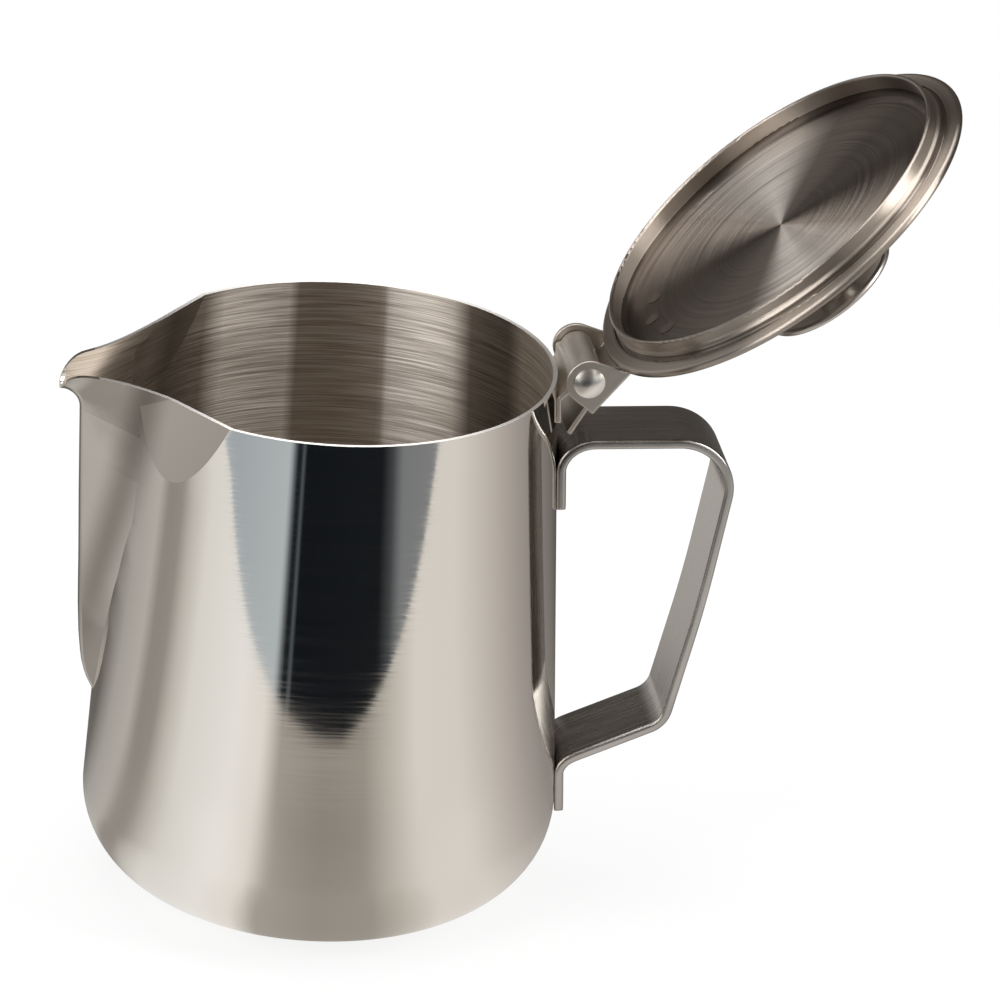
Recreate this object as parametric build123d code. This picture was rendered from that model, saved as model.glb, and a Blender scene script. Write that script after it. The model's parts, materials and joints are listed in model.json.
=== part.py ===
from build123d import *
import math
import os

# Hot milk jug with a hinged lid, all in stainless steel sheet, in millimetres.
# The origin is the centre of the base, +Z is up, +X points to the handle and the hinge.
# The spout points to -X. The lid is built closed and then swung open onto its stop.

# Sizes shared by several pieces
overrun = 2.0           # how far a cutting shape runs past what it cuts
jug_sheet = 0.8         # sheet of the jug body
lid_sheet = 0.7         # sheet of the lid
hinge_sheet = 0.85      # sheet of the jug's hinge leaf
bracket_sheet = 0.85    # sheet of the lid's bracket
seat = 0.05             # how far a strip is set into the wall before the wall trims it

# Jug body, a cone with a rounded foot
jug_height = 104.0
rim_radius = 40.0       # outside, at the rim
foot_radius = 46.0      # outside, where the cone would meet the table
foot_round = 16.7       # outside radius of the rounded foot
recess_radius = 25.5    # outer edge of the step to the raised panel in the base
recess_height = 1.0
recess_slope = 3.0      # width of the step

# Spout, a V pressed out of the wall: stations up its front to the flare, as depths below the rim
spout_depths = [71.0, 68.0, 66.0, 64.5, 63.0, 61.0, 59.0, 55.0, 49.0, 38.5, 26.3, 18.0, 9.5]
# From the rim's radius out to the front of the V, the radius of its nose, half its angle in degrees
spout_steps = [2.0, 3.4, 4.5, 5.2, 5.7, 6.2, 6.5, 6.9, 7.2, 7.4, 7.7, 7.85, 8.0]
spout_noses = [1.6, 1.6, 1.6, 1.7, 1.8, 2.0, 2.2, 2.6, 3.2, 4.0, 3.8, 3.4, 3.0]
spout_angles = [40.0, 40.0, 40.0, 40.5, 41.0, 42.0, 43.0, 47.0, 52.0, 56.0, 57.0, 55.6, 53.0]
flank_depth = 9.0       # from the rim's radius in to where the flanks end, inside the wall

# Flare of the lip: stations turned about a line in front of the spout, in degrees
flare_round = 4.0       # outside radius of the flare
flare_angles = [0.0, 10.0, 20.0, 35.0, 55.0, 75.0, 92.0]
flare_noses = [3.0, 3.1, 3.2, 3.3, 3.4, 3.5, 3.6]
flare_vee_angles = [53.0, 50.8, 48.0, 42.5, 40.5, 38.0, 36.0]
flare_length = 20.0     # longest flank of a flare station

# Lip's edge, seen from the side
lip_start = 6.5         # from the rim's radius in to where the edge leaves the rim's level
lip_length = 11.9       # from the rim's radius out to the tip
lip_drop = 1.4          # fall of the edge before the tip rounds over
lip_round = 5.5

# Flats beside the spout, where the rim is drawn in
flat_depth = 2.15       # how far in, at the rim
flat_angle = 144.5      # direction from the handle side, in degrees
flat_lean = 12.0        # lean of the flat off the upright, in degrees

# Handle, one bent strip spot welded to the wall
strap_width = 17.0
strap_thick = 1.8
strap_round = 0.55      # rounding of the strip's edges
handle_drop = 13.3      # from the rim down to the strip's middle line at the top, beside the wall
handle_rise = 0.5       # how much higher it lies at its outer end
handle_reach = 34.8     # from the rim's radius to the top outer corner
upper_tab = 12.9        # from the strip's middle line at the top down to the tab's free end
waist_out_share = 0.50476       # the strip's bend half way down, between its two outer corners
waist_height_share = 0.42361
low_reach = 18.3        # from the foot's radius to the lower outer corner
low_height = 33.1
lower_bend_height = 25.0
lower_tab_end = 14.8
upper_wall_bend = 5.6   # middle line radii of the strip's bends
upper_outer_bend = 9.7
waist_bend = 260.0
lower_outer_bend = 5.2
lower_wall_bend = 4.0
hug_shares = [1.0, 0.86, 0.5, 0.14, 0.0]    # how much of the wall's curve is left through a bend

# Hinge
pin_radius = 2.2
pin_gap = 5.0           # from the rim's radius out to the pin's axis
pin_drop = 0.2          # from the rim down to the pin's axis
pin_fit = 0.05          # running clearance of the leaf's knuckle on the pin
ear_fit = 0.02          # clearance of the ears' holes, which the pin is riveted into
side_fit = 0.2          # clearance between each ear and the leaf
head_radius = 2.9
head_height = 1.15
head_edge = 0.3         # height of the straight edge round a rivet head
leaf_width = 16.9
leaf_drop = 8.6         # from the rim down to the welded leg's lower end
leaf_bend_drop = 4.0    # from the rim down to where the leg leaves the wall
leaf_bend = 2.2         # middle line radius of that bend
stop_length = 10.6      # from the pin's axis down to the stop leg's lower end
stop_gap = 0.03         # gap left between the open bracket and the stop leg

# Lid, closed, seated on the rim
open_angle = 140.0      # from closed to open, in degrees
flange_over = 0.1       # how far the flange stands out past the rim
flange_bead = 0.75      # radius of the rolled edge
flange_sheet = 0.8
skirt_fit = 1.1         # clearance between the skirt and the flats beside the spout
skirt_wall = 0.85       # the sheet folded back on itself
skirt_depth = 3.6       # below the rim
disc_lift = 1.0         # underside of the disc above the rim
disc_round = 1.9        # inside radius between the disc and the skirt
ridge_proud = 0.55      # shoulder on the skirt, just under the rim
ridge_top = 0.35        # from the rim down to the shoulder
ridge_foot = 1.5        # from the rim down to the shoulder's lower end
groove_radius = 0.32    # groove between the shoulder and the flange
groove_out = 0.1        # from the shoulder to the groove

# Bracket, a bent channel spot welded to the lid
ear_radius = 4.25
web_end = 24.5          # from the pin to the end that lies on the lid
web_lift = 11.0         # slope of the lifted part, in degrees
web_over = 4.7          # from the pin to the lifted part's outer face
web_bend = 6.0          # middle line radius where it lifts
web_front = 6.2         # from the pin to the ears' front corner, along the lifted part
web_tail = 4.2          # from the pin to the tail, along the lifted part
web_corner = 3.0        # rounding of the far corners

# Knob
knob_radius = 13.6
knob_sheet = 0.9
knob_height = 14.6      # from the lid to the edge of the cap
knob_bead = 0.65        # radius of the cap's rolled edge
knob_crown = 2.4        # rise of the cap's middle above its edge
stem_radius = 4.0
stem_waist = 2.9
stem_foot = 6.0         # radius of the stem's foot on the lid
stem_foot_height = 1.2
stem_flare = 3.0        # length of the taper at each end of the waist

# Spot welds
weld_radius = 2.0
weld_side = 5.5         # from the middle of a strip to each weld
weld_depth = 0.35       # how far a nugget reaches into each sheet
spot_radius = 1.5
spot_proud = 0.1        # how far a nugget stands out under the lid
spot_side = 7.4         # bracket's outer welds, from the middle
spot_outer = 17.3       # from the pin to the outer pair
spot_middle = 15.4      # from the pin to the middle one
knob_weld_radius = 2.4

# Lines worked out from the sizes
wall_tilt = math.atan2(foot_radius - rim_radius, jug_height)
spout_heights = [jug_height - depth for depth in spout_depths]
spout_reaches = [rim_radius + step for step in spout_steps]
spout_back = rim_radius - flank_depth
flare_front = spout_reaches[-1] + flare_round
lip_back = rim_radius - lip_start
lip_reach = rim_radius + lip_length
flat_reach = rim_radius - flat_depth
handle_top = jug_height - handle_drop
upper_tab_end = handle_top - upper_tab
handle_out = rim_radius + handle_reach
low_out = foot_radius + low_reach
waist_out = low_out + (handle_out - low_out) * waist_out_share
waist_height = low_height + (handle_top - low_height) * waist_height_share
pin_out = rim_radius + pin_gap
pin_height = jug_height - pin_drop
leaf_foot = jug_height - leaf_drop
leaf_bend_height = jug_height - leaf_bend_drop
stop_foot = pin_height - stop_length
flange_radius = rim_radius + flange_over
skirt_radius = flat_reach - jug_sheet - skirt_fit
web_slope = math.radians(web_lift)
knuckle_radius = pin_radius + pin_fit + hinge_sheet
channel_half = leaf_width / 2 + side_fit
pin_middle = Vector(pin_out, 0, pin_height)
disc_top = jug_height + disc_lift + lid_sheet


def wall_at(height):
    """Outside radius of the jug's cone at a height."""
    return foot_radius + (rim_radius - foot_radius) * height / jug_height


def along(angle):
    """Unit vector in the XZ plane at an angle in radians above +X."""
    return Vector(math.cos(angle), 0, math.sin(angle))


def rounded(points, radii):
    """Lines through the points, with a tangent arc at each inner corner."""
    edges = []
    start = points[0]
    for before, corner, after, radius in zip(points, points[1:], points[2:], radii):
        back = (before - corner).normalized()
        ahead = (after - corner).normalized()
        half = math.radians(back.get_angle(ahead)) / 2
        first = corner + back * (radius / math.tan(half))
        last = corner + ahead * (radius / math.tan(half))
        centre = corner + (back + ahead).normalized() * (radius / math.sin(half))
        middle = centre + (corner - centre).normalized() * radius
        edges.append(Edge.make_line(start, first))
        edges.append(Edge.make_three_point_arc(first, middle, last))
        start = last
    edges.append(Edge.make_line(start, points[-1]))
    return edges


def at(out, height):
    """A point of the XZ plane."""
    return Vector(out, 0, height)


def turned(*edges):
    """Solid turned round the jug's axis from the edges of an outline."""
    return revolve(make_face(Wire(edges)), Axis.Z)


def body_volume(inset):
    """The cone with its rounded foot, its surface moved in by the inset."""
    wall_inset = inset / math.cos(wall_tilt)
    step = inset * math.tan(math.atan2(recess_height, recess_slope) / 2)
    top = jug_height + overrun
    corner = at(wall_at(inset) - wall_inset, inset)
    wall = rounded(
        [at(recess_radius + step, inset), corner, at(wall_at(top) - wall_inset, top)],
        [foot_round - inset],
    )
    base = rounded(
        [
            at(0, recess_height + inset),
            at(recess_radius - recess_slope + step, recess_height + inset),
            at(recess_radius + step, inset),
        ],
        [recess_slope],
    )
    close = [Edge.make_line(at(wall_at(top) - wall_inset, top), at(0, top))]
    axis = [Edge.make_line(at(0, top), at(0, recess_height + inset))]
    return turned(*base, *wall, *close, *axis)


def rim_flat(inset, side):
    """What the flat beside the spout takes off the cone."""
    turn = math.radians(flat_angle) * side
    lean = math.radians(flat_lean)
    outward = Vector(math.cos(turn) * math.cos(lean), math.sin(turn) * math.cos(lean), math.sin(lean))
    foot = Vector(flat_reach * math.cos(turn), flat_reach * math.sin(turn), jug_height)
    face = Plane(origin=foot - outward * inset, z_dir=outward)
    return extrude(face * Rectangle(foot_radius, foot_radius), foot_radius)


def vee(front, tilt, half_angle, nose, length, inset):
    """Face across the spout, from its front inwards, its flanks moved in by the inset."""
    frame = Plane(origin=front, x_dir=along(tilt), z_dir=along(tilt + math.pi / 2))
    half = math.radians(half_angle)
    radius = nose - inset
    near = nose - radius * math.sin(half)
    side = radius * math.cos(half)
    far_side = side + (length - near) * math.tan(half)
    flank = Line((near, side), (length, far_side))
    tip = ThreePointArc((near, side), (inset, 0), (near, -side))
    other = Line((near, -side), (length, -far_side))
    back = Polyline((length, far_side), (length + spout_back / 2, 0), (length, -far_side))
    return frame * make_face([flank, tip, other, back])


def spout_volume(inset):
    """The V of the spout and the flare of its lip, moved in by the inset."""
    rising = []
    for height, reach, nose, angle in zip(spout_heights, spout_reaches, spout_noses, spout_angles):
        rising.append(vee(at(-reach, height), 0, angle, nose, reach - spout_back, inset))
    flaring = []
    for turn, nose, angle in zip(flare_angles, flare_noses, flare_vee_angles):
        tilt = math.radians(turn)
        front = at(-flare_front, spout_heights[-1]) + along(tilt) * flare_round
        length = flare_length
        if (flare_front - spout_back) < (flare_length + flare_round) * math.cos(tilt):
            length = (flare_front - spout_back) / math.cos(tilt) - flare_round
        flaring.append(vee(front, tilt, angle, nose, length, inset))
    return loft(rising, ruled=True) + loft(flaring)


def lip_cut():
    """What lies above the lip's edge."""
    back = at(-lip_back, jug_height)
    corner = at(-lip_reach, jug_height - lip_drop)
    tip = at(-lip_reach, jug_height - lip_drop - lip_round - overrun)
    low = at(-foot_radius - foot_round, tip.Z)
    high = at(low.X, jug_height + foot_radius)
    rest = Polyline(tip, low, high, at(-lip_back, high.Z), back)
    outline = make_face(rounded([back, corner, tip], [lip_round]) + rest.edges())
    return extrude(outline, rim_radius, both=True)


def jug_volume(inset):
    """Everything inside one skin of the jug, spout included, cut level at the rim."""
    cone = body_volume(inset)
    for side in (-1, 1):
        cone -= rim_flat(inset, side)
    return cone + spout_volume(inset)


def jug_shell(welds):
    """The jug body: one drawn cup, its spout pressed out of the wall."""
    shell = jug_volume(0) - jug_volume(jug_sheet)
    above = Pos(0, 0, jug_height) * Cylinder(
        foot_radius + foot_round, foot_radius, align=(Align.CENTER, Align.CENTER, Align.MIN)
    )
    return shell - above - lip_cut() - welds


def cross_section(place, travel, width, thickness, sag, rounding):
    """Face across a strip. Its edges lean to the wall by the sag, so it hugs the round jug."""
    frame = Plane(origin=place, x_dir=(0, 1, 0), z_dir=travel)
    half = width / 2
    edge_high = thickness / 2 + sag
    edge_low = sag - thickness / 2
    if sag:
        high = ThreePointArc((-half, edge_high), (0, thickness / 2), (half, edge_high))
        low = ThreePointArc((half, edge_low), (0, -thickness / 2), (-half, edge_low))
    else:
        high = Line((-half, edge_high), (half, edge_high))
        low = Line((half, edge_low), (-half, edge_low))
    ends = [Line((half, edge_high), (half, edge_low)), Line((-half, edge_low), (-half, edge_high))]
    outline = make_face([high, ends[0], low, ends[1]])
    if rounding:
        outline = fillet(outline.vertices(), rounding)
    return frame * outline


def ribbon(edges, width, thickness, rounding=0):
    """A flat strip that follows the edges of its middle line."""
    path = Wire(edges)
    start = cross_section(path @ 0, path % 0, width, thickness, 0, rounding)
    return sweep(start, path)


def hugging(leg, bend, width, thickness, rounding):
    """The end of a strip that lies on the round wall, and the bend where it turns flat."""
    radius = wall_at((leg @ 0).Z)
    sag = radius - math.sqrt(radius**2 - (width / 2) ** 2)
    steps = len(hug_shares) - 1
    faces = [cross_section(leg @ 0, leg % 0, width, thickness, sag, rounding)]
    faces.append(cross_section(leg @ 1, leg % 1, width, thickness, sag, rounding))
    tab = loft(faces, ruled=True)
    turning = []
    for step, share in enumerate(hug_shares):
        place = bend @ (step / steps)
        travel = bend % (step / steps)
        turning.append(cross_section(place, travel, width, thickness, sag * share, rounding))
    return tab + loft(turning)


def wall_line(height, thickness):
    """A point on the middle line of a strip that lies on the wall."""
    return at(wall_at(height) + thickness / 2 - seat, height)


def strap_path():
    """Middle line of the handle, from the lower tab's end to the upper tab's end."""
    points = [
        wall_line(lower_tab_end, strap_thick),
        wall_line(lower_bend_height, strap_thick),
        at(low_out, low_height),
        at(waist_out, waist_height),
        at(handle_out, handle_top + handle_rise),
        wall_line(handle_top, strap_thick),
        wall_line(upper_tab_end, strap_thick),
    ]
    bends = [lower_wall_bend, lower_outer_bend, waist_bend, upper_outer_bend, upper_wall_bend]
    return rounded(points, bends)


def backwards(edge):
    """The same line or arc, run the other way."""
    if edge.geom_type == GeomType.LINE:
        return Edge.make_line(edge @ 1, edge @ 0)
    return Edge.make_three_point_arc(edge @ 1, edge @ 0.5, edge @ 0)


def handle_strap(welds):
    """The handle: one strip with rounded edges, its ends shaped to the wall."""
    path = strap_path()
    lower = hugging(path[0], path[1], strap_width, strap_thick, strap_round)
    upper = hugging(backwards(path[-1]), backwards(path[-2]), strap_width, strap_thick, strap_round)
    strap = lower + ribbon(path[2:-2], strap_width, strap_thick, strap_round) + upper
    return strap - body_volume(0) - welds


def wall_weld(height, side, sideways):
    """A spot weld's nugget, half in the wall and half in the strip on it."""
    radius = wall_at(height)
    turn = math.asin(sideways / radius) * side
    lean = wall_tilt
    outward = Vector(math.cos(turn) * math.cos(lean), math.sin(turn) * math.cos(lean), math.sin(lean))
    place = Vector(radius * math.cos(turn), radius * math.sin(turn), height)
    disc = Plane(origin=place, z_dir=outward) * Circle(weld_radius)
    return extrude(disc, weld_depth, both=True)


def strap_welds():
    """Two spot welds in each tab of the handle."""
    nuggets = []
    for tab in (strap_path()[0], strap_path()[-1]):
        for side in (-1, 1):
            nuggets.append(wall_weld((tab @ 0.5).Z, side, weld_side))
    return nuggets


def opened(piece):
    """A piece of the closed lid, swung open about the pin."""
    return Location(pin_middle) * Rot(0, open_angle, 0) * Location(-pin_middle) * piece


def web_point(out, over):
    """A point by the lifted part: its distance along it from the pin, and off the pin."""
    return pin_middle + along(math.pi + web_slope) * out + along(math.pi / 2 + web_slope) * over


def stop_direction():
    """Angle of the stop leg, so that the open bracket's tail comes to rest on it."""
    tail = web_point(-web_tail, web_over - bracket_sheet) - pin_middle
    bearing = math.atan2(tail.Z, tail.X) - math.radians(open_angle)
    reach = tail.length
    lean = math.asin((knuckle_radius + stop_gap) / reach)
    return bearing - lean


def leaf_path():
    """Middle line of the hinge leaf: up the wall, over the pin, and down the stop leg."""
    middle_radius = knuckle_radius - hinge_sheet / 2
    foot = wall_line(leaf_foot, hinge_sheet)
    leaving = wall_line(leaf_bend_height, hinge_sheet)
    gap = pin_middle - leaving
    rise = math.atan2(gap.Z, gap.X) + math.asin(middle_radius / gap.length)
    fall = stop_direction()
    before = pin_middle + along(rise + math.pi / 2) * middle_radius
    above = pin_middle + along((rise + fall + math.pi) / 2) * middle_radius
    after = pin_middle + along(fall + math.pi / 2) * middle_radius
    drop = (after.Z - stop_foot) / -math.sin(fall)
    stop = Edge.make_line(after, after + along(fall) * drop)
    knuckle = Edge.make_three_point_arc(before, above, after)
    up = rounded([foot, leaving, before], [leaf_bend])
    return up + [knuckle, stop]


def hinge_leaf(welds):
    """The jug's half of the hinge: a strip wrapped over the pin."""
    path = leaf_path()
    radius = wall_at(leaf_foot)
    sag = radius - math.sqrt(radius**2 - (leaf_width / 2) ** 2)
    on_wall = [
        cross_section(path[0] @ 0, path[0] % 0, leaf_width, hinge_sheet, sag, 0),
        cross_section(path[0] @ 1, path[0] % 1, leaf_width, hinge_sheet, sag, 0),
    ]
    leaving = [
        on_wall[1],
        cross_section(path[1] @ 0.5, path[1] % 0.5, leaf_width, hinge_sheet, sag * hug_shares[1], 0),
        cross_section(path[1] @ 1, path[1] % 1, leaf_width, hinge_sheet, sag * hug_shares[2], 0),
        cross_section(path[2] @ 0.5, path[2] % 0.5, leaf_width, hinge_sheet, sag * hug_shares[3], 0),
        cross_section(path[2] @ 1, path[2] % 1, leaf_width, hinge_sheet, 0, 0),
    ]
    leaf = loft(on_wall, ruled=True) + loft(leaving) + ribbon(path[3:], leaf_width, hinge_sheet)
    return leaf - body_volume(0) - welds


def leaf_welds():
    """Two spot welds in the leaf's leg on the wall."""
    height = (leaf_path()[0] @ 0.5).Z
    return [wall_weld(height, side, weld_side) for side in (-1, 1)]


def crosswise(radius, length):
    """A round bar along Y through the pin's axis."""
    return Location(pin_middle) * Rot(90, 0, 0) * Cylinder(radius, length)


def hinge_pin():
    """The rivet: a shank through both ears, with a domed head outside each."""
    outer = channel_half + bracket_sheet
    half = outer + head_height
    shank = [
        Line((0, 0), (pin_radius, 0)),
        Line((pin_radius, 0), (pin_radius, outer)),
        Line((pin_radius, outer), (head_radius, outer)),
        Line((head_radius, outer), (head_radius, outer + head_edge)),
        RadiusArc((head_radius, outer + head_edge), (0, half), -dome_radius()),
        Line((0, half), (0, 0)),
    ]
    one_half = revolve(Plane.XZ * make_face(shank), Axis.Z)
    whole = one_half + mirror(one_half, Plane.XY)
    return Location(pin_middle) * Rot(90, 0, 0) * whole


def dome_radius():
    """Radius of a rivet head's dome."""
    rise = head_height - head_edge
    return (head_radius**2 + rise**2) / (2 * rise)


def lid_pan(welds):
    """The lid: a pressed disc, a folded skirt that hangs in the mouth, and a rolled flange."""
    rim = jug_height
    inside = skirt_radius - skirt_wall
    ridge = skirt_radius + ridge_proud
    groove = ridge + groove_out
    bead_out = flange_radius - flange_bead
    bead_top = rim + flange_bead * 2
    flange_top = rim + flange_sheet
    foot = rim - skirt_depth
    edge = skirt_wall / 2
    under = rim + disc_lift
    lower = rounded(
        [at(0, under), at(inside, under), at(inside, foot + edge)],
        [disc_round],
    )
    skirt_foot = Edge.make_three_point_arc(
        at(inside, foot + edge), at(inside + edge, foot), at(skirt_radius, foot + edge)
    )
    ridge_side = rounded(
        [
            at(skirt_radius, foot + edge),
            at(skirt_radius, rim - ridge_foot),
            at(ridge, rim - (ridge_foot + ridge_top) / 2),
            at(ridge, rim - ridge_top),
            at(groove, rim),
        ],
        [ridge_proud, ridge_proud / 2, groove_out],
    )
    groove_arc = Edge.make_three_point_arc(
        at(groove, rim),
        at(groove + groove_radius, rim + groove_radius),
        at(groove + groove_radius * 2, rim),
    )
    seat_line = Edge.make_line(at(groove + groove_radius * 2, rim), at(bead_out, rim))
    bead = Edge.make_three_point_arc(
        at(bead_out, rim), at(flange_radius, rim + flange_bead), at(bead_out, bead_top)
    )
    bead_side = Edge.make_three_point_arc(
        at(bead_out, bead_top),
        at(bead_out - flange_bead / math.sqrt(2), rim + flange_bead + flange_bead / math.sqrt(2)),
        at(bead_out - flange_bead, rim + flange_bead),
    )
    upper = rounded(
        [
            at(bead_out - flange_bead, rim + flange_bead),
            at(bead_out - flange_bead - groove_radius, flange_top),
            at(skirt_radius, flange_top),
            at(inside + edge, disc_top),
            at(0, disc_top),
        ],
        [groove_radius, groove_radius, disc_round],
    )
    axis = Edge.make_line(at(0, disc_top), at(0, under))
    pan = turned(*lower, skirt_foot, *ridge_side, groove_arc, seat_line, bead, bead_side, *upper, axis)
    return opened(pan - welds)


def web_path():
    """Middle line of the bracket's web, from the tail over the pin to the end on the lid."""
    middle = web_over - bracket_sheet / 2
    flat = disc_top + bracket_sheet / 2
    tail = web_point(-web_tail, middle)
    above = web_point(0, middle)
    run = (above.Z - flat) / math.tan(web_slope)
    corner = at(above.X - run, flat)
    end = at(pin_out - web_end, flat)
    return rounded([tail, corner, end], [web_bend])


def bracket_ear(side):
    """One ear of the bracket: a plate round the pin, bent down from the web."""
    corners = [web_point(web_front, web_over), web_point(-web_tail, web_over)]
    front, tail = [Vector(corner.X - pin_out, corner.Z - pin_height) for corner in corners]
    outline = make_hull([Edge.make_circle(ear_radius), Edge.make_line(front, tail)])
    frame = Plane(origin=pin_middle, x_dir=(1, 0, 0), z_dir=(0, -1, 0))
    plate = extrude(frame * outline, bracket_sheet, dir=(0, side, 0))
    return Pos(0, side * channel_half, 0) * plate


def lid_bracket(welds):
    """The lid's half of the hinge: a channel over the leaf, its web welded to the lid."""
    width = (channel_half + bracket_sheet) * 2
    bracket = ribbon(web_path(), width, bracket_sheet)
    far = bracket.edges().filter_by(Axis.Z).group_by(Axis.X)[0]
    bracket = fillet(far, web_corner)
    for side in (-1, 1):
        bracket += bracket_ear(side)
    bracket -= crosswise(pin_radius + ear_fit, width + overrun)
    return opened(bracket - welds)


def bracket_welds():
    """Three spot welds through the lid's disc into the bracket, showing under the lid."""
    nuggets = []
    foot = disc_top - lid_sheet - spot_proud
    height = lid_sheet + spot_proud + bracket_sheet / 2
    for out, sideways in ((spot_outer, -spot_side), (spot_middle, 0), (spot_outer, spot_side)):
        disc = Plane(origin=(pin_out - out, sideways, foot)) * Circle(spot_radius)
        nuggets.append(extrude(disc, height))
    return nuggets


def cap_dome(offset):
    """Ball whose top is the knob cap's upper face, moved down by the offset."""
    span = knob_radius - knob_bead
    radius = (span**2 + knob_crown**2) / (2 * knob_crown)
    top = disc_top + knob_height + knob_bead + knob_crown
    return Pos(0, 0, top - radius) * Sphere(radius - offset)


def knob_cap(welds):
    """The knob's dished cap, with a rolled edge."""
    edge_height = disc_top + knob_height
    span = knob_radius - knob_bead
    blank = Pos(0, 0, edge_height) * Cylinder(
        span, knob_crown + overrun, align=(Align.CENTER, Align.CENTER, Align.MIN)
    )
    dish = (blank & cap_dome(0)) - cap_dome(knob_sheet)
    bead = Pos(0, 0, edge_height) * Torus(span, knob_bead)
    return dish + bead - welds


def knob_stem(welds):
    """The turned stem between the lid and the cap."""
    foot = disc_top
    top = disc_top + knob_height + knob_crown + knob_bead
    neck = foot + stem_foot_height
    outline = Polyline(
        at(0, foot),
        at(stem_foot, foot),
        at(stem_foot, neck),
        at(stem_waist, neck + stem_flare),
        at(stem_waist, top - stem_flare * 2),
        at(stem_radius, top - stem_flare),
        at(stem_radius, top),
        at(0, top),
        close=True,
    )
    stem = revolve(make_face(outline), Axis.Z)
    return (stem & cap_dome(knob_sheet)) - welds


def knob_welds():
    """One projection weld at each end of the stem."""
    top = disc_top + knob_height + knob_bead + knob_crown - knob_sheet
    nuggets = []
    for height in (disc_top, top):
        disc = Plane(origin=(0, 0, height)) * Circle(knob_weld_radius)
        nuggets.append(extrude(disc, weld_depth, both=True))
    return nuggets


def write(name, solids):
    """One STEP file for a sub-part."""
    kept = solids if isinstance(solids, list) else [solids]
    bodies = [solid for piece in kept for solid in piece.solids()]
    export_step(Compound(children=bodies), os.path.join("parts", name + ".step"))
    print(name, len(bodies), "solid(s)", [round(body.volume, 2) for body in bodies])


os.makedirs("parts", exist_ok=True)
handle_nuggets = strap_welds()
leaf_nuggets = leaf_welds()
bracket_nuggets = bracket_welds()
knob_nuggets = knob_welds()

write("jug_shell", jug_shell(handle_nuggets + leaf_nuggets))
write("handle_strap", handle_strap(handle_nuggets))
write("handle_welds", handle_nuggets)
write("hinge_leaf", hinge_leaf(leaf_nuggets))
write("leaf_welds", leaf_nuggets)
write("hinge_pin", opened(hinge_pin()))
write("lid_pan", lid_pan(bracket_nuggets + knob_nuggets))
write("lid_bracket", lid_bracket(bracket_nuggets))
write("bracket_welds", [opened(nugget) for nugget in bracket_nuggets])
write("knob_cap", opened(knob_cap(knob_nuggets)))
write("knob_stem", opened(knob_stem(knob_nuggets)))
write("knob_welds", [opened(nugget) for nugget in knob_nuggets])
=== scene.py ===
# %% [markdown]
# A hot milk jug with its lid held open, all in stainless steel.
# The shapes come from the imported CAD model, which is loaded here as a frame of named pieces.
# Nothing is modelled again: this script gives every piece its finish and builds the studio around it.

# %% Load the frame
import bpy
import json
import math
from mathutils import Matrix, Vector

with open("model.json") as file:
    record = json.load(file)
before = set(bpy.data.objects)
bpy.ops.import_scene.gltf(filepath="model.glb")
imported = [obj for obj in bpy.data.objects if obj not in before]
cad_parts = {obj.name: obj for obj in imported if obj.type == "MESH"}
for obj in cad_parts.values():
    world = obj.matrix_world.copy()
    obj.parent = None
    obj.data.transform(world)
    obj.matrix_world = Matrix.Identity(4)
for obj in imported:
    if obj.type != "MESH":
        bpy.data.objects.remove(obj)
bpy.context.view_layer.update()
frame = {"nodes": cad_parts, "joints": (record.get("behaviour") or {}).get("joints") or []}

mm = 0.001

# %% [markdown]
# The lid hangs on one hinge, and the model is stored with it open.
# Its brushing runs in rings about the lid's own middle, so the pattern needs the closed lid's place.
# The joint says where the pin is and how far the lid turns, and that is enough to work it out.

# %% The hinge and the lid's turn
hinge = frame["joints"][0]
pin = Vector(hinge["pos_m"])
open_turn = math.radians(hinge["range_deg"][1])
print("pin at", tuple(pin), "opens by", round(math.degrees(open_turn)), "degrees")

# %% [markdown]
# A colour in a paint chart is an sRGB hex value, but a shader works in linear light.
# One function turns the first into the second, so each colour below can be read as hex.

# %% Colour from hex
def colour(hex_value):
    """Linear RGBA from an sRGB hex string."""
    channels = [int(hex_value[i:i + 2], 16) / 255 for i in (1, 3, 5)]
    linear = [c / 12.92 if c <= 0.04045 else ((c + 0.055) / 1.055) ** 2.4 for c in channels]
    return (*linear, 1.0)

print("half way up in hex is", round(colour("#808080")[0], 3), "in linear light")

# %% [markdown]
# A material is a small machine of nodes. One function adds a node, sets its options,
# and fills its inputs with a number or with another node's output.
# Everything below is built from it, so each line reads like one node in the shader editor.

# %% Add a node
def add(tree, kind, inputs=None, **options):
    """Adds a node. An input given as a socket is linked, anything else is set."""
    node = tree.nodes.new(kind)
    for name, value in options.items():
        setattr(node, name, value)
    for key, value in (inputs or {}).items():
        if isinstance(value, bpy.types.NodeSocket):
            tree.links.new(value, node.inputs[key])
        else:
            node.inputs[key].default_value = value
    return node

# %% [markdown]
# Brushed metal looks the way it does because its scratches all run one way.
# On a jug and its lid they run in circles, left by a pad held against the spinning piece.
# The scratches' direction could be painted on a UV map. It is worked out from the place instead:
# at any point it is the flat direction round the axis, and the open lid is first turned back shut.

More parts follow.
